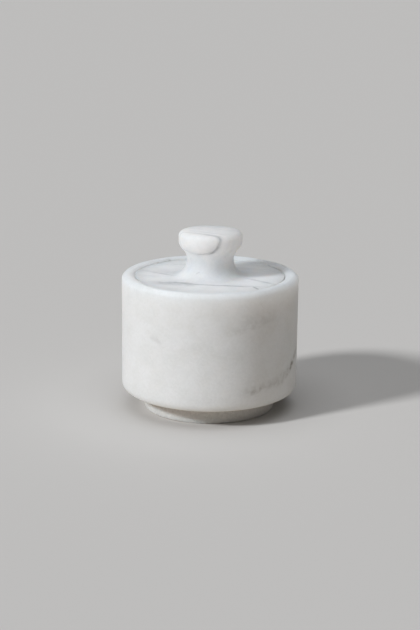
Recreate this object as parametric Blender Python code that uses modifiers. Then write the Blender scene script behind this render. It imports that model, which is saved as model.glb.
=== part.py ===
"""Lidded salt cellar turned from white marble: a footed pot and an inset lid with a mushroom knob.

Units are metres, +Z is up. The origin is on the turning axis, on the surface that the foot stands on.
Both pieces are turned on a lathe, so each is one profile (radius, height) revolved about Z.
"""

import math

import bpy
from mathutils import Vector

# Pot, outside
POT_DIAMETER = 0.0950
POT_HEIGHT = 0.0733  # to the crest of the rim
RIM_ROUND = 0.0029  # outer edge of the rim
RIM_SLOPE = math.radians(13)  # the rim's top falls from its crest to the mouth
BASE_ROUND = 0.0038  # lower edge of the drum, above the foot
FOOT_HEIGHT = 0.0098
FOOT_INSET = 0.0122  # how far the foot stands in from the drum's side
FOOT_ROUND = 0.0006
FOOT_RING_WIDTH = 0.0070  # the flat ring that the pot stands on
FOOT_RECESS = 0.0012  # depth of the hollow inside that ring
FOOT_RECESS_SLOPE = 0.0015  # how far the hollow's side leans inwards

# Pot, inside
RIM_WIDTH = 0.0071  # wall beside the lid
MOUTH_ROUND = 0.0005  # inner edge of the rim
LEDGE_WIDTH = 0.0040  # shoulder that carries the lid
LEDGE_ROUND = 0.0007
FLOOR_THICKNESS = 0.0140
WELL_ROUND = 0.0080  # sweep from the well's wall to its floor

# Lid plate
LID_THICKNESS = 0.0080
LID_RECESS = 0.0009  # how far the plate's top lies below the rim's crest
LID_CLEARANCE = 0.0005  # radial gap between plate and mouth
LID_ROUND = 0.0006  # top edge of the plate
LID_UNDER_ROUND = 0.0006  # bottom edge of the plate
SEAT_GAP = 0.0003  # between the plate's underside and the ledge

# Knob, turned in one piece with the plate
NECK_DIAMETER = 0.0250
FLARE_WIDTH = 0.0080  # how far the neck's foot spreads over the plate
NECK_RISE = 0.0088  # plate to the narrowest place of the neck
HEAD_OVERHANG = 0.0045  # head's radius beyond the neck's
HEAD_LIFT = 0.0104  # narrowest place to the head's full width
HEAD_BAND = 0.0023  # straight band at the full width
HEAD_ROUND = 0.0027  # shoulder between the band and the top
HEAD_CROWN = 0.0003  # rise of the top at its middle
HOLLOW_SHARE = 0.57  # share of the underside's S curve that is hollow, the rest swells out to the band

# Facets
TURN_STEPS = 64
ARC_STEP = math.radians(18)
SHARP_ANGLE = math.radians(35)
ROUND_REACH = 0.48  # the most of a side that the round at one of its ends may take
WELD = 1e-6

# Polished stone
MARBLE_ROUGHNESS = 0.32
POT_COLOUR = (0.80, 0.79, 0.76, 1.0)
LID_COLOUR = (0.72, 0.75, 0.77, 1.0)

# Places that both pieces take from the sizes above
POT_RADIUS = POT_DIAMETER / 2
MOUTH_RADIUS = POT_RADIUS - RIM_WIDTH
LID_UNDERSIDE = POT_HEIGHT - LID_RECESS - LID_THICKNESS


def clear_scene():
    for obj in list(bpy.data.objects):
        bpy.data.objects.remove(obj, do_unlink=True)


def arc_segments(sweep):
    return max(2, math.ceil(abs(sweep) / ARC_STEP))


def arc(centre, radii, start, end):
    """Points (radius, height) along an elliptical arc, angles from +radius towards +Z."""
    segments = arc_segments(end - start)
    angles = [start + (end - start) * i / segments for i in range(segments + 1)]
    return [(centre[0] + radii[0] * math.cos(a), centre[1] + radii[1] * math.sin(a)) for a in angles]


def fillet(before, corner, after, radius):
    """Points of the arc that touches both sides of a corner, as far as those sides reach."""
    to_before = (before - corner).normalized()
    to_after = (after - corner).normalized()
    half = to_before.angle(to_after) / 2
    shorter = min((before - corner).length, (after - corner).length)
    tangent = min(radius / math.tan(half), shorter * ROUND_REACH)
    centre = corner + (to_before + to_after).normalized() * (tangent / math.cos(half))
    first = corner + to_before * tangent - centre
    last = corner + to_after * tangent - centre
    segments = arc_segments(math.pi - 2 * half)
    spokes = [first.normalized().slerp(last.normalized(), i / segments) for i in range(segments + 1)]
    return [tuple(centre + spoke * first.length) for spoke in spokes]


def rounded(corners):
    """Profile through corners (radius, height, round), with an arc at each corner that has a round."""
    places = [Vector(corner[:2]) for corner in corners]
    profile = []
    for i, (radius, height, rounding) in enumerate(corners):
        if rounding:
            profile += fillet(places[i - 1], places[i], places[i + 1], rounding)
        else:
            profile.append((radius, height))
    return profile


def pot_profile():
    """From the middle of the well's floor, up its wall, over the rim, down the side and under the foot."""
    well_radius = MOUTH_RADIUS - LEDGE_WIDTH
    ledge_height = LID_UNDERSIDE - SEAT_GAP
    foot_radius = POT_RADIUS - FOOT_INSET
    ring_inside = foot_radius - FOOT_RING_WIDTH
    # The rim's corner is high enough for the crest, where it has been rounded off, to reach the pot's height.
    rim_corner = POT_HEIGHT + RIM_ROUND * (math.tan(RIM_SLOPE) + 1 / math.cos(RIM_SLOPE) - 1)
    mouth_edge = rim_corner - RIM_WIDTH * math.tan(RIM_SLOPE)
    return rounded([
        (0.0, FLOOR_THICKNESS, 0.0),
        (well_radius, FLOOR_THICKNESS, WELL_ROUND),
        (well_radius, ledge_height, LEDGE_ROUND),
        (MOUTH_RADIUS, ledge_height, 0.0),
        (MOUTH_RADIUS, mouth_edge, MOUTH_ROUND),
        (POT_RADIUS, rim_corner, RIM_ROUND),
        (POT_RADIUS, FOOT_HEIGHT, BASE_ROUND),
        (foot_radius, FOOT_HEIGHT, 0.0),
        (foot_radius, 0.0, FOOT_ROUND),
        (ring_inside, 0.0, 0.0),
        (ring_inside - FOOT_RECESS_SLOPE, FOOT_RECESS, 0.0),
        (0.0, FOOT_RECESS, 0.0),
    ])


def knob_profile():
    """From the middle of the knob's top, over its shoulder and down the neck to the plate."""
    neck_radius = NECK_DIAMETER / 2
    head_radius = neck_radius + HEAD_OVERHANG
    crown_edge = head_radius - HEAD_ROUND
    neck_height = LID_THICKNESS + NECK_RISE
    head_height = neck_height + HEAD_LIFT
    shoulder_height = head_height + HEAD_BAND
    # The underside is two arcs that meet on one slope, upright at the neck and upright at the band.
    slope = 2 * math.atan2(HEAD_OVERHANG, HEAD_LIFT)
    both_radii = HEAD_LIFT / math.sin(slope)
    hollow = both_radii * HOLLOW_SHARE
    swell = both_radii - hollow
    quarter = math.pi / 2
    return [
        *arc((0.0, shoulder_height + HEAD_ROUND), (crown_edge, HEAD_CROWN), quarter, 0.0)[:-1],
        *arc((crown_edge, shoulder_height), (HEAD_ROUND, HEAD_ROUND), quarter, 0.0),
        *arc((head_radius - swell, head_height), (swell, swell), 0.0, -slope),
        *arc((neck_radius + hollow, neck_height), (hollow, hollow), math.pi - slope, math.pi)[1:],
        *arc((neck_radius + FLARE_WIDTH, neck_height), (FLARE_WIDTH, NECK_RISE), math.pi, 3 * quarter)[1:],
    ]


def lid_profile():
    """Heights are from the plate's underside, so that the lid's origin is the middle of its seat."""
    lid_radius = MOUTH_RADIUS - LID_CLEARANCE
    return rounded([
        *[(radius, height, 0.0) for radius, height in knob_profile()],
        (lid_radius, LID_THICKNESS, LID_ROUND),
        (lid_radius, 0.0, LID_UNDER_ROUND),
        (0.0, 0.0, 0.0),
    ])


def polished_marble(name, colour):
    material = bpy.data.materials.new(name)
    material.use_nodes = True
    shader = material.node_tree.nodes["Principled BSDF"]
    shader.inputs["Base Color"].default_value = colour
    shader.inputs["Roughness"].default_value = MARBLE_ROUGHNESS
    shader.inputs["Metallic"].default_value = 0.0
    return material


def turned(name, profile, material, collection):
    """Revolves a profile about the object's Z axis and keeps the result as a smooth-shaded mesh."""
    line = bpy.data.meshes.new(name + "_profile")
    edges = [(i, i + 1) for i in range(len(profile) - 1)]
    line.from_pydata([(radius, 0.0, height) for radius, height in profile], edges, [])
    obj = bpy.data.objects.new(name, line)
    collection.objects.link(obj)
    screw = obj.modifiers.new("turn", "SCREW")
    screw.axis = "Z"
    screw.angle = math.tau
    screw.steps = TURN_STEPS
    screw.render_steps = TURN_STEPS
    screw.use_merge_vertices = True
    screw.merge_threshold = WELD
    evaluated = obj.evaluated_get(bpy.context.evaluated_depsgraph_get())
    solid = bpy.data.meshes.new_from_object(evaluated)
    obj.modifiers.clear()
    obj.data = solid
    bpy.data.meshes.remove(line)
    solid.name = name
    solid.shade_smooth()
    solid.set_sharp_from_angle(angle=SHARP_ANGLE)
    solid.materials.append(material)
    return obj


def main():
    clear_scene()
    collection = bpy.data.collections.new("salt_cellar")
    bpy.context.scene.collection.children.link(collection)

    pot = turned("pot", pot_profile(), polished_marble("pot_marble", POT_COLOUR), collection)
    lid = turned("lid", lid_profile(), polished_marble("lid_marble", LID_COLOUR), collection)

    # The lid lifts straight up the turning axis, out of the pot's mouth.
    lid_axis = bpy.data.objects.new("lid_axis", None)
    collection.objects.link(lid_axis)
    lid_axis.parent = pot
    lid_axis.location = (0.0, 0.0, LID_UNDERSIDE)
    lid.parent = lid_axis


main()
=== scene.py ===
import math

import bpy
from mathutils import Matrix, Vector


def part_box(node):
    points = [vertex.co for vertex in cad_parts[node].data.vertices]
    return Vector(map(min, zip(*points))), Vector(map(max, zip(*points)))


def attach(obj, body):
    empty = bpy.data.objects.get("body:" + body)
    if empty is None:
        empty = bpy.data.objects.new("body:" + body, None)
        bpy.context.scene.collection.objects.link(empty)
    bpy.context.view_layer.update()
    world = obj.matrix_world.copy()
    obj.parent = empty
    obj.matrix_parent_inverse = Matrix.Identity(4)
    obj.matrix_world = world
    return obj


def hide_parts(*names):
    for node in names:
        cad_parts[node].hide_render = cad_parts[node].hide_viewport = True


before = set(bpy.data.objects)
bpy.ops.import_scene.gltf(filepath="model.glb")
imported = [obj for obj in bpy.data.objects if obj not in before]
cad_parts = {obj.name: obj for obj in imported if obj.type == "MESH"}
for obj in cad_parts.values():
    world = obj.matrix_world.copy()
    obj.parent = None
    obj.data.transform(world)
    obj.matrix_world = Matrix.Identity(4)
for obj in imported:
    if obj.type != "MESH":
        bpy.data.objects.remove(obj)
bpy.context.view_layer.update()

# Lidded salt cellar turned from white marble: a footed pot, and a lid with a mushroom knob.
# Sizes here are in millimetres, in the frame's own axes, and mm turns them to metres.
mm = 0.001
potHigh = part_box("pot")[1]
lidLow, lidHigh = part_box("lid")
print("frame loaded:", ", ".join(sorted(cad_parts)))


def addNode(tree, kind, settings=None, links=None):
    node = tree.nodes.new(kind)
    for key, value in (settings or {}).items():
        if isinstance(key, str) and hasattr(node, key):
            setattr(node, key, value)
        else:
            node.inputs[key].default_value = value
    for key, source in (links or {}).items():
        tree.links.new(source, node.inputs[key])
    return node


def hexColour(text):  # sRGB hex to linear
    channels = [int(text[i:i + 2], 16) / 255 for i in (1, 3, 5)]
    linear = [c / 12.92 if c <= 0.04045 else ((c + 0.055) / 1.055) ** 2.4 for c in channels]
    return (*linear, 1.0)


# Profiles: a point is (radius, height, ground), and ground runs from 0, honed, to 1, only ground.
def arcPoints(centre, radii, start, end, steps):
    angles = [math.radians(start + (end - start) * i / steps) for i in range(steps + 1)]
    return [(centre[0] + radii[0] * math.cos(a), centre[1] + radii[1] * math.sin(a)) for a in angles]


def cornerArc(before, corner, after, radius, steps):
    toBefore = (before - corner).normalized()
    toAfter = (after - corner).normalized()
    half = toBefore.angle(toAfter) / 2
    centre = corner + (toBefore + toAfter).normalized() * (radius / math.sin(half))
    first = (corner + toBefore * (radius / math.tan(half)) - centre).normalized()
    last = (corner + toAfter * (radius / math.tan(half)) - centre).normalized()
    return [centre + first.slerp(last, i / steps) * radius for i in range(steps + 1)]


def roundedRun(corners, steps):
    places = [Vector(corner[:2]) for corner in corners]
    points = []
    for i, (radius, height, rounding, ground) in enumerate(corners):
        if rounding:
            arc = cornerArc(places[i - 1], places[i], places[i + 1], rounding, steps)
            points += [(p.x, p.y, ground) for p in arc]
        else:
            points.append((radius, height, ground))
    return points


def spacedOut(points, spacing):
    spaced = [points[0]]
    for a, b in zip(points, points[1:]):
        parts = max(1, math.ceil(math.dist(a[:2], b[:2]) / spacing))
        spaced += [tuple(p + (q - p) * i / parts for p, q in zip(a, b)) for i in range(1, parts + 1)]
    return spaced


pot = {
    "rimWidth": 7.1,  # wall beside the lid
    "rimRound": 2.9,
    "rimSlope": 13.0,  # degrees that the rim's top falls towards the mouth
    "mouthRound": 0.5,
    "ledgeWidth": 4.0,
    "ledgeRound": 0.7,
    "seatGap": 0.3,  # ledge to the underside of the lid
    "wellFloor": 14.0,
    "wellSweep": 8.0,
    "baseRound": 3.8,
    "footHeight": 9.8,
    "footInset": 12.2,
    "footRound": 0.6,
    "ringWidth": 7.0,
    "recess": 1.2,
    "recessSlope": 1.5,
    "innerRound": 0.35,  # left by the tool in each inside corner
    # ground also sets how much dust and painted shade each place gets
    "ground": {  # how rough each place was left
        "well": 0.3,
        "ledge": 0.5,
        "mouth": 0.1,
        "side": 0.0,
        "overFoot": 0.6,
        "foot": 0.5,
        "under": 1.0,
    },
    "spacing": 1.1,
    "arcSteps": 8,
    "turnSteps": 256,
    "outOfRound": 0.16,
    "waverLength": 55.0,
    "seed": 4,
}


def potPoints():
    radius = potHigh.x / mm
    height = potHigh.z / mm
    mouth = radius - pot["rimWidth"]
    well = mouth - pot["ledgeWidth"]
    ledge = lidLow.z / mm - pot["seatGap"]
    foot = radius - pot["footInset"]
    ring = foot - pot["ringWidth"]
    # the corner is high enough for the rounded crest to reach the pot's height
    slope = math.radians(pot["rimSlope"])
    rimCorner = height + pot["rimRound"] * (math.tan(slope) + 1 / math.cos(slope) - 1)
    mouthEdge = rimCorner - pot["rimWidth"] * math.tan(slope)
    ground = pot["ground"]
    run = roundedRun([
        (0.0, pot["wellFloor"], 0.0, ground["well"]),
        (well, pot["wellFloor"], pot["wellSweep"], ground["well"]),
        (well, ledge, pot["ledgeRound"], ground["well"]),
        (mouth, ledge, pot["innerRound"], ground["ledge"]),
        (mouth, mouthEdge, pot["mouthRound"], ground["mouth"]),
        (radius, rimCorner, pot["rimRound"], ground["side"]),
        (radius, pot["footHeight"], pot["baseRound"], ground["side"]),
        (foot, pot["footHeight"], pot["innerRound"], ground["overFoot"]),
        (foot, 0.0, pot["footRound"], ground["foot"]),
        (ring, 0.0, pot["innerRound"], ground["under"]),
        (ring - pot["recessSlope"], pot["recess"], pot["innerRound"], ground["under"]),
        (0.0, pot["recess"], 0.0, ground["under"]),
    ], pot["arcSteps"])
    return spacedOut(run, pot["spacing"])


lid = {
    "thickness": 8.0,
    "topRound": 0.6,
    "underRound": 0.6,
    "neckRadius": 12.5,
    "neckRise": 8.8,  # plate to the narrowest place
    "flare": 8.0,
    "headRadius": 17.0,
    "headLift": 10.4,  # narrowest place to the head's full width
    "hollowShare": 0.57,
    "band": 2.3,
    "shoulder": 2.7,
    "ground": {"top": 0.0, "lowerEdge": 0.3, "under": 0.7},
    "spacing": 0.45,
    "arcSteps": 10,
    "turnSteps": 256,
    "outOfRound": 0.70,
    "waverLength": 60.0,
    "seed": 59,  # widest towards the left, where the lid all but touches the rim
    "blemish": {"at": (-6.9, -11.7, 76.8), "size": 1.4, "height": 0.30},
}


def lidPoints():
    under = lidLow.z / mm
    plate = under + lid["thickness"]
    edge = lidHigh.x / mm
    neck = lid["neckRadius"]
    head = lid["headRadius"]
    narrow = plate + lid["neckRise"]
    wide = narrow + lid["headLift"]
    band = wide + lid["band"]
    crown = head - lid["shoulder"]
    rise = lidHigh.z / mm - band - lid["shoulder"]
    # the underside is an S of two arcs, upright at the neck and upright at the band
    slope = 2 * math.atan2(head - neck, lid["headLift"])
    bothRadii = lid["headLift"] / math.sin(slope)
    hollow = bothRadii * lid["hollowShare"]
    swell = bothRadii - hollow
    turn = math.degrees(slope)
    steps = lid["arcSteps"]
    knob = [
        *arcPoints((0.0, band + lid["shoulder"]), (crown, rise), 90, 0, steps)[:-1],
        *arcPoints((crown, band), (lid["shoulder"],) * 2, 90, 0, steps),
        *arcPoints((head - swell, wide), (swell, swell), 0, -turn, steps),
        *arcPoints((neck + hollow, narrow), (hollow, hollow), 180 - turn, 180, steps)[1:],
        *arcPoints((neck + lid["flare"], narrow), (lid["flare"], lid["neckRise"]), 180, 270, 2 * steps)[1:],
    ]
    ground = lid["ground"]
    run = roundedRun([
        *[(radius, height, 0.0, ground["top"]) for radius, height in knob],
        (edge, plate, lid["topRound"], ground["top"]),
        (edge, under, lid["underRound"], ground["lowerEdge"]),
        (0.0, under, 0.0, ground["under"]),
    ], steps)
    return spacedOut(run, lid["spacing"])


weld = 0.001  # points this close become one, which closes the seam and the poles


# One tree turns a profile about Z, a row of points for each profile point and a column for each step.
def latheTree():
    tree = bpy.data.node_groups.new("turnOnLathe", "GeometryNodeTree")
    socketKinds = {
        "Profile": "NodeSocketGeometry",
        "Turn Steps": "NodeSocketInt",
        "Out of Round": "NodeSocketFloat",
        "Waver Length": "NodeSocketFloat",
        "Seed": "NodeSocketInt",
        "Stone": "NodeSocketMaterial",
    }
    for name, kind in socketKinds.items():
        tree.interface.new_socket(name, in_out="INPUT", socket_type=kind)
    tree.interface.new_socket("Piece", in_out="OUTPUT", socket_type="NodeSocketGeometry")
    given = addNode(tree, "NodeGroupInput").outputs
    rows = addNode(tree, "GeometryNodeAttributeDomainSize", {}, {"Geometry": given["Profile"]})
    columns = addNode(tree, "FunctionNodeIntegerMath", {"operation": "ADD", 1: 1}, {0: given["Turn Steps"]})
    grid = addNode(tree, "GeometryNodeMeshGrid", {}, {
        "Vertices X": rows.outputs["Point Count"],
        "Vertices Y": columns.outputs[0],
    })
    index = addNode(tree, "GeometryNodeInputIndex")
    row = addNode(tree, "FunctionNodeIntegerMath", {"operation": "DIVIDE_FLOOR"}, {
        0: index.outputs[0],
        1: columns.outputs[0],
    })
    column = addNode(tree, "FunctionNodeIntegerMath", {"operation": "MODULO"}, {
        0: index.outputs[0],
        1: columns.outputs[0],
    })
    share = addNode(tree, "ShaderNodeMath", {"operation": "DIVIDE"}, {
        0: column.outputs[0],
        1: given["Turn Steps"],
    })
    angle = addNode(tree, "ShaderNodeMath", {"operation": "MULTIPLY", 1: math.tau}, {0: share.outputs[0]})
    place = addNode(tree, "GeometryNodeInputPosition")
    onProfile = addNode(tree, "GeometryNodeSampleIndex", {"data_type": "FLOAT_VECTOR"}, {
        "Geometry": given["Profile"],
        "Value": place.outputs[0],
        "Index": row.outputs[0],
    })
    turned = addNode(tree, "ShaderNodeVectorRotate", {"rotation_type": "Z_AXIS"}, {
        "Vector": onProfile.outputs[0],
        "Angle": angle.outputs[0],
    })
    # a hand-held tool leaves the stone a little out of round, more so further out
    pitch = addNode(tree, "ShaderNodeMath", {"operation": "DIVIDE", 0: 1.0}, {1: given["Waver Length"]})
    waver = addNode(tree, "ShaderNodeTexNoise", {"noise_dimensions": "4D", "Detail": 1.0}, {
        "Vector": turned.outputs[0],
        "W": given["Seed"],
        "Scale": pitch.outputs[0],
    })
    swing = addNode(tree, "ShaderNodeMapRange", {"To Min": -1.0}, {"Value": waver.outputs[0]})
    push = addNode(tree, "ShaderNodeMath", {"operation": "MULTIPLY"}, {
        0: swing.outputs[0],
        1: given["Out of Round"],
    })
    outwards = addNode(tree, "ShaderNodeVectorMath", {"operation": "MULTIPLY", 1: (1.0, 1.0, 0.0)}, {
        0: turned.outputs[0],
    })
    shift = addNode(tree, "ShaderNodeVectorMath", {"operation": "SCALE"}, {
        0: outwards.outputs[0],
        "Scale": push.outputs[0],
    })
    moved = addNode(tree, "GeometryNodeSetPosition", {}, {
        "Geometry": grid.outputs["Mesh"],
        "Position": turned.outputs[0],
        "Offset": shift.outputs[0],
    })
    marked = moved
    for mark in ("ground", "toolPath"):
        onLine = addNode(tree, "GeometryNodeInputNamedAttribute", {"data_type": "FLOAT", "Name": mark})
        onRow = addNode(tree, "GeometryNodeSampleIndex", {"data_type": "FLOAT"}, {
            "Geometry": given["Profile"],
            "Value": onLine.outputs["Attribute"],
            "Index": row.outputs[0],
        })
        marked = addNode(tree, "GeometryNodeStoreNamedAttribute", {"data_type": "FLOAT", "Name": mark}, {
            "Geometry": marked.outputs[0],
            "Value": onRow.outputs[0],
        })
    closed = addNode(tree, "GeometryNodeMergeByDistance", {"Distance": weld * mm}, {
        "Geometry": marked.outputs[0],
    })
    smooth = addNode(tree, "GeometryNodeSetShadeSmooth", {}, {"Geometry": closed.outputs[0]})
    real = addNode(tree, "GeometryNodeRealizeInstances", {}, {"Geometry": smooth.outputs[0]})
    dressed = addNode(tree, "GeometryNodeSetMaterial", {}, {
        "Geometry": real.outputs[0],
        "Material": given["Stone"],
    })
    addNode(tree, "NodeGroupOutput", {}, {"Piece": dressed.outputs[0]})
    return tree


def turnPiece(name, points, spec, tree, stone):
    line = bpy.data.meshes.new(name + "Profile")
    line.from_pydata(
        [(radius * mm, 0.0, height * mm) for radius, height, _ in points],
        [(i, i + 1) for i in range(len(points) - 1)],
        [],
    )
    # how far the tool has come along the profile, which its rings follow
    travel = [0.0]
    for a, b in zip(points, points[1:]):
        travel.append(travel[-1] + math.dist(a[:2], b[:2]))
    for mark, values in (("ground", [point[2] for point in points]), ("toolPath", travel)):
        line.attributes.new(mark, "FLOAT", "POINT").data.foreach_set("value", values)
    piece = bpy.data.objects.new(name, line)
    bpy.context.scene.collection.objects.link(piece)
    turning = piece.modifiers.new("lathe", "NODES")
    turning.node_group = tree
    widest = max(point[0] for point in points)  # where the waver has its given size
    values = {
        "Turn Steps": spec["turnSteps"],
        "Out of Round": spec["outOfRound"] / widest,
        "Waver Length": spec["waverLength"] * mm,
        "Seed": spec["seed"],
        "Stone": stone,
    }
    for label, value in values.items():
        turning[tree.interface.items_tree[label].identifier] = value
    evaluated = piece.evaluated_get(bpy.context.evaluated_depsgraph_get())
    solid = bpy.data.meshes.new_from_object(evaluated)
    piece.modifiers.clear()
    piece.data = solid
    bpy.data.meshes.remove(line)
    print(name, "turned:", len(solid.polygons), "faces")
    return piece


# a low bump, highest in its middle
def raiseBlemish(piece, spec):
    centre = Vector(spec["at"]) * mm
    normals = [v.normal.copy() for v in piece.data.vertices]
    for vertex, normal in zip(piece.data.vertices, normals):
        near = (vertex.co - centre).length / (spec["size"] * mm)
        if near < 1:
            vertex.co += normal * spec["height"] * mm * (1 - near * near) ** 2


veinAndShadeCore = 0.25  # share of its reach in which a vein keeps its full strength


# A sheet of darker stone, strongest at one place, that may bend and be softer on one side: mostly a vein,
# in a few places partly painted shade.
def veinAndShadeSheetGroup():
    tree = bpy.data.node_groups.new("veinAndShadeSheet", "ShaderNodeTree")
    for name in ("Place", "Thickest", "Facing", "Along"):
        tree.interface.new_socket(name, in_out="INPUT", socket_type="NodeSocketVector")
    for name in ("Reach", "Sharp Side", "Soft Side", "Bend", "Amount"):
        tree.interface.new_socket(name, in_out="INPUT", socket_type="NodeSocketFloat")
    tree.interface.new_socket("Share", in_out="OUTPUT", socket_type="NodeSocketFloat")
    given = addNode(tree, "NodeGroupInput").outputs
    away = addNode(tree, "ShaderNodeVectorMath", {"operation": "SUBTRACT"}, {
        0: given["Place"],
        1: given["Thickest"],
    })
    across = addNode(tree, "ShaderNodeVectorMath", {"operation": "DOT_PRODUCT"}, {
        0: away.outputs[0],
        1: given["Facing"],
    })
    along = addNode(tree, "ShaderNodeVectorMath", {"operation": "DOT_PRODUCT"}, {
        0: away.outputs[0],
        1: given["Along"],
    })
    squared = addNode(tree, "ShaderNodeMath", {"operation": "MULTIPLY"}, {
        0: along.outputs["Value"],
        1: along.outputs["Value"],
    })
    sag = addNode(tree, "ShaderNodeMath", {"operation": "MULTIPLY"}, {
        0: squared.outputs[0],
        1: given["Bend"],
    })
    offSheet = addNode(tree, "ShaderNodeMath", {"operation": "SUBTRACT"}, {
        0: across.outputs["Value"],
        1: sag.outputs[0],
    })
    behind = addNode(tree, "ShaderNodeMath", {"operation": "MULTIPLY", 1: -1.0}, {0: given["Sharp Side"]})
    rise = addNode(tree, "ShaderNodeMapRange", {"interpolation_type": "SMOOTHSTEP", "From Max": 0.0}, {
        "Value": offSheet.outputs[0],
        "From Min": behind.outputs[0],
        "To Max": given["Amount"],
    })
    fall = addNode(tree, "ShaderNodeMapRange", {
        "interpolation_type": "SMOOTHSTEP",
        "From Min": 0.0,
        "To Min": 1.0,
        "To Max": 0.0,
    }, {"Value": offSheet.outputs[0], "From Max": given["Soft Side"]})
    far = addNode(tree, "ShaderNodeVectorMath", {"operation": "LENGTH"}, {0: away.outputs[0]})
    near = addNode(tree, "ShaderNodeMath", {"operation": "MULTIPLY", 1: veinAndShadeCore}, {0: given["Reach"]})
    fade = addNode(tree, "ShaderNodeMapRange", {
        "interpolation_type": "SMOOTHSTEP",
        "To Min": 1.0,
        "To Max": 0.0,
    }, {
        "Value": far.outputs["Value"],
        "From Min": near.outputs[0],
        "From Max": given["Reach"],
    })
    sheet = addNode(tree, "ShaderNodeMath", {"operation": "MULTIPLY"}, {
        0: rise.outputs[0],
        1: fall.outputs[0],
    })
    share = addNode(tree, "ShaderNodeMath", {"operation": "MULTIPLY"}, {
        0: sheet.outputs[0],
        1: fade.outputs[0],
    })
    addNode(tree, "NodeGroupOutput", {}, {"Share": share.outputs[0]})
    return tree


# White marble, turned wet and then honed by hand to a satin. The eye gets a soft white that light
# goes a few millimetres into, sugary crystals of about a millimetre, and a few thin smoky veins.
# Inside and under the foot it was only ground: duller, darker and warmer, part dust and part painted shade,
# with the rings that the tool left.
# A vein has its strongest place, the way its sheet faces, its reach, and how far its two sides fade. A few
# of these sheets are partly painted shade, each marked where it stands.
potStone = {
    "name": "white marble turned and honed",
    "light": "#EDF0F3",
    "cloud": "#E9ECEE",
    "veinAndShade": "#86837B",
    "bedding": (-0.30, -0.34, 0.89),  # across the layers
    "cloudSize": 12.0,
    "streakSize": 9.0,
    "streakLength": 45.0,
    "streakAmount": 0.03,
    "drift": 1.4,
    "driftSize": 11.0,
    # part dust, part painted warm shade on the foot and under the overhang
    "dustAndShade": "#D3C6B2",
    "dustAndShadeShare": 0.5,
    "crystal": 1.1,
    "lightWay": "BURLEY",  # spreads just under the skin, so the lit rim glows down the shaded side
    "lightDepth": 24.0,  # the shader's radius, several times the way that light really goes
    # less deep where the stone was only ground
    "shallow": {"by": "ground", "deepAt": 0.0, "shallowAt": 0.3, "lightDepth": 6.0},
    "honedRoughness": 0.62,
    "groundRoughness": 0.72,
    "threadSpacing": 26.0,  # hair veins, towards the back
    "threadWaver": 30.0,
    "threadWidth": 1.1,
    "threadAmount": 0.34,
    "patch": 2.6,  # spots that break up a vein
    "patchEdges": (0.36, 0.60),
    "patchLeast": 0.26,
    "veinsAndShade": [
        # lower right
        {"at": (31.0, -36.0, 22.0), "facing": (-0.12, -0.13, 0.98), "reach": 24.0,
         "sharp": 3.4, "soft": 4.6, "amount": 0.26},
        {"at": (24.8, -40.6, 20.2), "facing": (-0.12, -0.13, 0.98), "reach": 6.0,
         "sharp": 2.6, "soft": 2.8, "amount": 0.50},
        {"at": (39.7, -26.1, 23.5), "facing": (0.0, -0.4, 0.92), "reach": 11.0,
         "sharp": 3.0, "soft": 4.0, "amount": 0.38},
        {"at": (44.0, -17.0, 28.8), "facing": (0.24, -0.59, 0.77), "reach": 22.0,
         "sharp": 2.6, "soft": 4.0, "amount": 0.44},
        {"at": (43.4, -19.0, 27.7), "facing": (0.24, -0.59, 0.77), "reach": 5.5,
         "sharp": 2.2, "soft": 2.8, "amount": 0.95},
        # left
        {"at": (-28.6, -38.0, 47.0), "facing": (0.4, -0.3, 0.87), "reach": 10.0,
         "sharp": 2.8, "soft": 3.4, "amount": 0.14},
        # upper right: part smoky cloud, part painted shade where the side turns from the light
        {"at": (23.0, -41.6, 55.5), "facing": (-0.3, 0.1, 0.95), "reach": 22.0,
         "sharp": 3.2, "soft": 9.0, "amount": 0.17},
    ],
}
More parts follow.
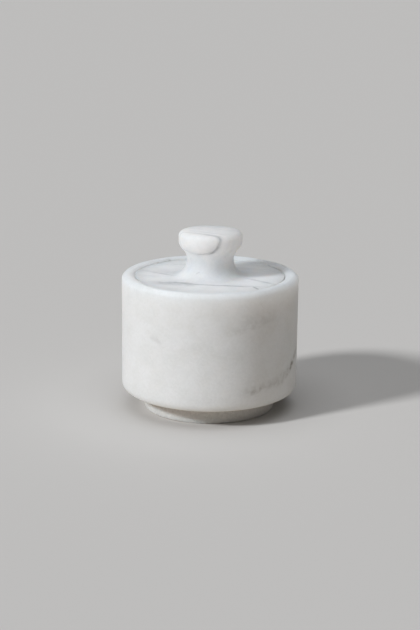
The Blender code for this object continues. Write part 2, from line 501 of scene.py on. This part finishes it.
# The lid's marble was made the same way, from a greyer block: the eye gets blue-grey streaks and hair
# veins across the plate and up the knob.
lidStone = {
    "name": "grey streaked marble turned and honed",
    "light": "#F2F3F5",
    "cloud": "#E8EBEE",
    "veinAndShade": "#727C85",
    "bedding": (0.28, 0.95, -0.12),
    "cloudSize": 16.0,
    "streakSize": 6.0,
    "streakLength": 60.0,
    "streakAmount": 0.16,
    "drift": 0.35,
    "driftSize": 9.0,
    # part dust, part painted shade on the lid's underside
    "dustAndShade": "#CDC8C0",
    "dustAndShadeShare": 0.3,
    "crystal": 0.9,
    "lightWay": "RANDOM_WALK",  # goes right through, which lights the knob's shaded side
    "lightDepth": 46.0,
    # less deep towards the thin plate, where light would leave underneath
    "shallow": {"by": "height", "deepAt": 81.0, "shallowAt": 73.0, "lightDepth": 15.0},
    "honedRoughness": 0.60,
    "groundRoughness": 0.70,
    "threadSpacing": 17.0,
    "threadWaver": 16.0,
    "threadWidth": 0.9,
    "threadAmount": 0.40,
    "patch": 5.0,
    "patchEdges": (0.30, 0.62),
    "patchLeast": 0.5,
    "veinsAndShade": [
        # plate
        {"at": (3.0, -23.8, 72.4), "facing": (0.137, 0.991, 0.0), "along": (0.991, -0.137, 0.0),
         "bend": 0.0027, "reach": 32.0, "sharp": 1.8, "soft": 2.6, "amount": 0.62},
        {"at": (-15.0, -19.0, 72.4), "facing": (0.2, 0.98, 0.0), "reach": 9.0,
         "sharp": 3.2, "soft": 3.6, "amount": 0.85},
        {"at": (-18.5, -19.8, 72.4), "facing": (0.2, 0.98, 0.0), "reach": 19.0,
         "sharp": 9.0, "soft": 7.0, "amount": 0.56},
        # part grey cloud on the plate, part painted shade dimming the lit front left of the flare
        {"at": (-16.0, -19.0, 73.0), "facing": (0.2, 0.98, 0.0), "reach": 22.0,
         "sharp": 14.0, "soft": 14.0, "amount": 0.24},
        {"at": (23.6, -28.4, 72.4), "facing": (0.9, 0.43, 0.0), "reach": 4.4,
         "sharp": 1.4, "soft": 1.4, "amount": 0.74},
        {"at": (-28.0, 3.2, 72.4), "facing": (0.55, 0.83, 0.0), "reach": 17.0,
         "sharp": 1.8, "soft": 2.6, "amount": 0.44},
        {"at": (26.5, -13.7, 72.4), "facing": (0.68, 0.73, 0.0), "reach": 16.0,
         "sharp": 1.8, "soft": 2.6, "amount": 0.42},
        {"at": (-24.0, 6.0, 72.4), "facing": (0.35, 0.94, 0.0), "reach": 30.0,
         "sharp": 10.0, "soft": 14.0, "amount": 0.24},
        # knob: dark lines round its lit front, part vein and part painted shade where the lit side turns
        # into shade
        {"at": (-1.8, -13.2, 93.2), "facing": (0.47, 0.83, -0.29), "reach": 34.0,
         "sharp": 0.7, "soft": 1.1, "amount": 0.36},
        {"at": (3.5, -16.5, 91.2), "facing": (0.47, 0.83, -0.29), "reach": 12.0,
         "sharp": 0.9, "soft": 1.7, "amount": 0.78},
        {"at": (0.2, -12.9, 96.7), "facing": (0.47, 0.83, -0.29), "reach": 15.0,
         "sharp": 1.5, "soft": 3.0, "amount": 0.54},
        # painted shade under the head, broadening the lower edge of those lines
        {"at": (-4.4, -14.2, 86.9), "facing": (0.47, 0.83, -0.29), "reach": 16.0,
         "sharp": 3.0, "soft": 3.0, "amount": 0.26},
        {"at": (-3.2, -14.8, 87.2), "facing": (0.47, 0.83, -0.29), "reach": 8.0,
         "sharp": 1.0, "soft": 1.3, "amount": 0.55},
        {"at": (1.2, -7.9, 96.8), "facing": (0.47, 0.83, -0.29), "reach": 17.0,
         "sharp": 1.0, "soft": 1.6, "amount": 0.15},
        # part vein, part painted shade where the right underside turns into shade
        {"at": (9.4, -11.4, 86.6), "facing": (-0.70, 0.16, 0.70), "reach": 7.0,
         "sharp": 1.4, "soft": 1.4, "amount": 0.16},
        # flare: painted shade on the low side of the raised blemish
        {"at": (-6.5, -12.3, 76.2), "facing": (-0.27, 0.78, 0.55), "reach": 2.0,
         "sharp": 0.5, "soft": 0.6, "amount": 0.36},
    ],
}
# What both stones share. Edges are the levels of a noise, from 0 to 1, between which a mark sets in.
anyMarble = {
    "ior": 1.5,
    "lightColours": (1.0, 0.83, 0.72),  # light goes deeper in red than in blue
    "cloudEdges": (0.40, 0.68),
    "streakEdges": (0.48, 0.75),
    "threadEdges": (0.38, 0.62),
    "threadsBack": (-15.0, 25.0),  # threads set in between these places on Y
    "grainTones": (0.98, 1.02),  # darkest and lightest crystal
    "groundGrainTone": 0.86,  # darkest crystal in stone that was only ground
    "grainRoughness": 0.03,
}
turningMarks = {
    "pitch": 0.9,  # the real rings are about 0.3 mm apart, too fine to show, so they are drawn wider
    "depth": 0.02,
}


def marble(spec, sheet):
    material = bpy.data.materials.new(spec["name"])
    material.use_nodes = True
    tree = material.node_tree
    shader = tree.nodes["Principled BSDF"]
    coords = addNode(tree, "ShaderNodeTexCoord")
    inMm = addNode(tree, "ShaderNodeVectorMath", {"operation": "SCALE", "Scale": 1 / mm}, {
        0: coords.outputs["Object"],
    })
    # slow drift bends the layers and veins
    driftNoise = addNode(tree, "ShaderNodeTexNoise", {"Scale": 1 / spec["driftSize"], "Detail": 3.0}, {
        "Vector": inMm.outputs[0],
    })
    driftMiddle = addNode(tree, "ShaderNodeVectorMath", {"operation": "SUBTRACT", 1: (0.5, 0.5, 0.5)}, {
        0: driftNoise.outputs["Color"],
    })
    bent = addNode(tree, "ShaderNodeVectorMath", {
        "operation": "MULTIPLY_ADD",
        1: (2 * spec["drift"],) * 3,
    }, {0: driftMiddle.outputs[0], 2: inMm.outputs[0]})
    # clouds: broad patches, a little greyer than the rest
    clouds = addNode(tree, "ShaderNodeTexNoise", {
        "Scale": 1 / spec["cloudSize"],
        "Detail": 5.0,
        "Roughness": 0.55,
    }, {"Vector": bent.outputs[0]})
    cloudShare = addNode(tree, "ShaderNodeMapRange", {
        "interpolation_type": "SMOOTHSTEP",
        "From Min": anyMarble["cloudEdges"][0],
        "From Max": anyMarble["cloudEdges"][1],
    }, {"Value": clouds.outputs[0]})
    tone = addNode(tree, "ShaderNodeMix", {
        "data_type": "RGBA",
        6: hexColour(spec["light"]),
        7: hexColour(spec["cloud"]),
    }, {0: cloudShare.outputs[0]})
    # streaks: fine layers, turned so that Z runs across the bedding
    upright = Vector(spec["bedding"]).normalized().rotation_difference(Vector((0, 0, 1))).to_euler()
    layers = addNode(tree, "ShaderNodeMapping", {"Rotation": upright}, {"Vector": bent.outputs[0]})
    streakPlace = addNode(tree, "ShaderNodeVectorMath", {
        "operation": "MULTIPLY",
        1: (1 / spec["streakLength"], 1 / spec["streakLength"], 1 / spec["streakSize"]),
    }, {0: layers.outputs[0]})
    streaks = addNode(tree, "ShaderNodeTexNoise", {"Scale": 1.0, "Detail": 2.0}, {
        "Vector": streakPlace.outputs[0],
    })
    streakShare = addNode(tree, "ShaderNodeMapRange", {
        "interpolation_type": "SMOOTHSTEP",
        "From Min": anyMarble["streakEdges"][0],
        "From Max": anyMarble["streakEdges"][1],
        "To Max": spec["streakAmount"],
    }, {"Value": streaks.outputs[0]})
    # threads: hair veins that follow the layers, come and go, and keep to the back of the stone
    waver = addNode(tree, "ShaderNodeTexNoise", {"Scale": 1 / spec["threadSpacing"], "Detail": 3.0}, {
        "Vector": layers.outputs[0],
    })
    split = addNode(tree, "ShaderNodeSeparateXYZ", {}, {0: layers.outputs[0]})
    level = addNode(tree, "ShaderNodeMath", {"operation": "MULTIPLY_ADD", 1: spec["threadWaver"]}, {
        0: waver.outputs[0],
        2: split.outputs["Z"],
    })
    offThread = addNode(tree, "ShaderNodeMath", {"operation": "PINGPONG", 1: spec["threadSpacing"] / 2}, {
        0: level.outputs[0],
    })
    threadLine = addNode(tree, "ShaderNodeMapRange", {
        "interpolation_type": "SMOOTHSTEP",
        "From Max": spec["threadWidth"],
        "To Min": spec["threadAmount"],
        "To Max": 0.0,
    }, {"Value": offThread.outputs[0]})
    comeAndGo = addNode(tree, "ShaderNodeMapRange", {
        "interpolation_type": "SMOOTHSTEP",
        "From Min": anyMarble["threadEdges"][0],
        "From Max": anyMarble["threadEdges"][1],
    }, {"Value": clouds.outputs[0]})
    placeInMm = addNode(tree, "ShaderNodeSeparateXYZ", {}, {0: inMm.outputs[0]})
    threaded = addNode(tree, "ShaderNodeMapRange", {
        "interpolation_type": "SMOOTHSTEP",
        "From Min": anyMarble["threadsBack"][0],
        "From Max": anyMarble["threadsBack"][1],
    }, {"Value": placeInMm.outputs["Y"]})
    threadThere = addNode(tree, "ShaderNodeMath", {"operation": "MULTIPLY"}, {
        0: comeAndGo.outputs[0],
        1: threaded.outputs[0],
    })
    threadShare = addNode(tree, "ShaderNodeMath", {"operation": "MULTIPLY"}, {
        0: threadLine.outputs[0],
        1: threadThere.outputs[0],
    })
    veinedAndShaded = addNode(tree, "ShaderNodeMath", {"operation": "MAXIMUM"}, {
        0: streakShare.outputs[0],
        1: threadShare.outputs[0],
    })
    for veinAndShade in spec["veinsAndShade"]:
        share = addNode(tree, "ShaderNodeGroup", {
            "node_tree": sheet,
            "Thickest": veinAndShade["at"],
            "Facing": Vector(veinAndShade["facing"]).normalized(),
            "Along": veinAndShade.get("along", (0.0, 0.0, 0.0)),
            "Bend": veinAndShade.get("bend", 0.0),
            "Reach": veinAndShade["reach"],
            "Sharp Side": veinAndShade["sharp"],
            "Soft Side": veinAndShade["soft"],
            "Amount": veinAndShade["amount"],
        }, {"Place": bent.outputs[0]})
        veinedAndShaded = addNode(tree, "ShaderNodeMath", {"operation": "MAXIMUM"}, {
            0: veinedAndShaded.outputs[0],
            1: share.outputs[0],
        })
    # veins are patchy, not drawn with one stroke
    patches = addNode(tree, "ShaderNodeTexNoise", {"Scale": 1 / spec["patch"], "Detail": 3.0}, {
        "Vector": inMm.outputs[0],
    })
    patchy = addNode(tree, "ShaderNodeMapRange", {
        "From Min": spec["patchEdges"][0],
        "From Max": spec["patchEdges"][1],
        "To Min": spec["patchLeast"],
    }, {"Value": patches.outputs[0]})
    veinAndShadeShare = addNode(tree, "ShaderNodeMath", {"operation": "MULTIPLY"}, {
        0: veinedAndShaded.outputs[0],
        1: patchy.outputs[0],
    })
    # towards the vein colour: veins, and in a few places painted shade
    stone = addNode(tree, "ShaderNodeMix", {"data_type": "RGBA", 7: hexColour(spec["veinAndShade"])}, {
        0: veinAndShadeShare.outputs[0],
        6: tone.outputs[2],
    })
    # crystals: each grain a little lighter or darker than the next
    grains = addNode(tree, "ShaderNodeTexVoronoi", {"Scale": 1 / spec["crystal"]}, {
        "Vector": inMm.outputs[0],
    })
    sparkle = addNode(tree, "ShaderNodeSeparateColor", {}, {0: grains.outputs["Color"]})
    # stone that was only ground is darker and warmer, part dust and part painted shade on the foot and
    # under the overhang, and its grains stand out more
    worked = addNode(tree, "ShaderNodeAttribute", {"attribute_name": "ground"})
    dustAndShadeHeld = addNode(tree, "ShaderNodeMath", {"operation": "MULTIPLY", 1: spec["dustAndShadeShare"]}, {
        0: worked.outputs["Fac"],
    })
    dustAndShadeMix = addNode(tree, "ShaderNodeMix", {"data_type": "RGBA", 7: hexColour(spec["dustAndShade"])}, {
        0: dustAndShadeHeld.outputs[0],
        6: stone.outputs[2],
    })
    darkest = addNode(tree, "ShaderNodeMapRange", {
        "To Min": anyMarble["grainTones"][0],
        "To Max": anyMarble["groundGrainTone"],
    }, {"Value": worked.outputs["Fac"]})
    grainTone = addNode(tree, "ShaderNodeMapRange", {"To Max": anyMarble["grainTones"][1]}, {
        "Value": sparkle.outputs[0],
        "To Min": darkest.outputs[0],
    })
    grained = addNode(tree, "ShaderNodeVectorMath", {"operation": "SCALE"}, {
        0: dustAndShadeMix.outputs[2],
        "Scale": grainTone.outputs[0],
    })
    tree.links.new(grained.outputs[0], shader.inputs["Base Color"])
    # honed outside, duller where the stone was only ground, and a little different from grain to grain
    worn = addNode(tree, "ShaderNodeMapRange", {
        "To Min": spec["honedRoughness"],
        "To Max": spec["groundRoughness"],
    }, {"Value": worked.outputs["Fac"]})
    dull = addNode(tree, "ShaderNodeMapRange", {
        "To Min": -anyMarble["grainRoughness"],
        "To Max": anyMarble["grainRoughness"],
    }, {"Value": sparkle.outputs[1]})
    rough = addNode(tree, "ShaderNodeMath", {"operation": "ADD"}, {0: worn.outputs[0], 1: dull.outputs[0]})
    tree.links.new(rough.outputs[0], shader.inputs["Roughness"])
    # the tool's rings, only where they weren't honed away
    path = addNode(tree, "ShaderNodeAttribute", {"attribute_name": "toolPath"})
    phase = addNode(tree, "ShaderNodeMath", {
        "operation": "MULTIPLY",
        1: math.tau / turningMarks["pitch"],
    }, {0: path.outputs["Fac"]})
    rings = addNode(tree, "ShaderNodeMath", {"operation": "SINE"}, {0: phase.outputs[0]})
    marks = addNode(tree, "ShaderNodeBump", {"Distance": turningMarks["depth"] * mm}, {
        "Height": rings.outputs[0],
        "Strength": worked.outputs["Fac"],
    })
    tree.links.new(marks.outputs[0], shader.inputs["Normal"])
    # light goes into the stone, less deep in some of it
    shader.inputs["IOR"].default_value = anyMarble["ior"]
    shader.subsurface_method = spec["lightWay"]
    shader.inputs["Subsurface Weight"].default_value = 1.0
    shader.inputs["Subsurface Radius"].default_value = anyMarble["lightColours"]
    shallow = spec["shallow"]
    depthFollows = {"ground": worked.outputs["Fac"], "height": placeInMm.outputs["Z"]}
    depth = addNode(tree, "ShaderNodeMapRange", {
        "interpolation_type": "SMOOTHSTEP",
        "From Min": shallow["deepAt"],
        "From Max": shallow["shallowAt"],
        "To Min": spec["lightDepth"] * mm,
        "To Max": shallow["lightDepth"] * mm,
    }, {"Value": depthFollows[shallow["by"]]})
    tree.links.new(depth.outputs[0], shader.inputs["Subsurface Scale"])
    print("stone made:", spec["name"])
    return material


lathe = latheTree()
veinAndShadeSheet = veinAndShadeSheetGroup()
potPiece = turnPiece("pot_turned", potPoints(), pot, lathe, marble(potStone, veinAndShadeSheet))
lidPiece = turnPiece("lid_turned", lidPoints(), lid, lathe, marble(lidStone, veinAndShadeSheet))
raiseBlemish(lidPiece, lid["blemish"])

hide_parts("pot")
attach(potPiece, "pot")
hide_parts("lid")
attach(lidPiece, "lid")

# Stage: a plain pale floor, a soft lamp from the front left, a broad one overhead and a weak even sky
stage = {
    "floorSize": 40.0,  # metres
    "floorDrop": 0.05,  # a hair below the foot, so that no face lies in the floor's plane
    "floor": "#D0CFCE",
    "bounce": "#C3BBB1",  # what the floor throws back at the stone, low so that the shaded side stays deep
    "backdrop": "#BDBCBB",  # as the floor looks far away
    "sky": 0.08,  # strength of the even light from all round
    "lamps": [
        {"name": "softKey", "azimuth": -58, "elevation": 33, "spread": 8, "level": 0.72},
        {"name": "overhead", "azimuth": 10, "elevation": 84, "spread": 60, "level": 0.34},
    ],
}


# 1 for what the camera sees, straight on, in a reflection or through something, 0 for light on its way
def inSight(tree):
    ray = addNode(tree, "ShaderNodeLightPath")
    straight = addNode(tree, "ShaderNodeMath", {"operation": "MAXIMUM"}, {
        0: ray.outputs["Is Camera Ray"],
        1: ray.outputs["Is Glossy Ray"],
    })
    anySight = addNode(tree, "ShaderNodeMath", {"operation": "MAXIMUM"}, {
        0: straight.outputs[0],
        1: ray.outputs["Is Transmission Ray"],
    })
    return anySight.outputs[0]


def setStage():
    half = stage["floorSize"] / 2
    mesh = bpy.data.meshes.new("floor")
    corners = [(-half, -half, 0), (half, -half, 0), (half, half, 0), (-half, half, 0)]
    mesh.from_pydata(corners, [], [(0, 1, 2, 3)])
    floor = bpy.data.objects.new("floor", mesh)
    floor.location.z = -stage["floorDrop"] * mm
    bpy.context.scene.collection.objects.link(floor)
    paint = bpy.data.materials.new("matt pale board")
    paint.use_nodes = True
    board = paint.node_tree.nodes["Principled BSDF"]
    tone = addNode(paint.node_tree, "ShaderNodeMix", {
        "data_type": "RGBA",
        6: hexColour(stage["bounce"]),
        7: hexColour(stage["floor"]),
    }, {0: inSight(paint.node_tree)})
    paint.node_tree.links.new(tone.outputs[2], board.inputs["Base Color"])
    board.inputs["Specular IOR Level"].default_value = 0.0
    mesh.materials.append(paint)
    world = bpy.data.worlds.new("evenSky")
    world.use_nodes = True
    tree = world.node_tree
    sky = tree.nodes["Background"]
    sky.inputs["Color"].default_value = (1.0, 1.0, 1.0, 1.0)
    sky.inputs["Strength"].default_value = stage["sky"]
    # what is seen above the floor has the floor's tone
    seen = addNode(tree, "ShaderNodeBackground", {"Color": hexColour(stage["backdrop"])})
    around = addNode(tree, "ShaderNodeMixShader", {}, {
        0: inSight(tree),
        1: sky.outputs[0],
        2: seen.outputs[0],
    })
    tree.links.new(around.outputs[0], tree.nodes["World Output"].inputs["Surface"])
    bpy.context.scene.world = world
    # soft lamps so far away that they light the whole floor evenly
    for spec in stage["lamps"]:
        lamp = bpy.data.lights.new(spec["name"], "SUN")
        lamp.angle = math.radians(spec["spread"])
        lamp.energy = spec["level"] * math.pi  # white that faces the lamp gets this level from it
        light = bpy.data.objects.new(spec["name"], lamp)
        light.rotation_euler = (math.radians(90 - spec["elevation"]), 0.0, math.radians(spec["azimuth"]))
        bpy.context.scene.collection.objects.link(light)


setStage()

# Camera: where the photograph was taken from
camera = {
    "imageHeight": 630,
    "focalPixels": 1555.2,
    "sensor": 36.0,
    "place": (0.1, -813.9, 266.2),
    "down": 14.87,
    "roll": 0.559,
}


def setCamera():
    data = bpy.data.cameras.new("camera")
    data.sensor_width = camera["sensor"]
    # the frame is upright, so the sensor spans its height
    data.lens = camera["focalPixels"] * camera["sensor"] / camera["imageHeight"]
    shot = bpy.data.objects.new("camera", data)
    shot.matrix_world = (
        Matrix.Translation(Vector(camera["place"]) * mm)
        @ Matrix.Rotation(math.radians(90 - camera["down"]), 4, "X")
        @ Matrix.Rotation(math.radians(camera["roll"]), 4, "Z")
    )
    bpy.context.scene.collection.objects.link(shot)
    bpy.context.scene.camera = shot


setCamera()
bpy.context.scene.view_settings.view_transform = "Standard"
print("stage, light and camera set")
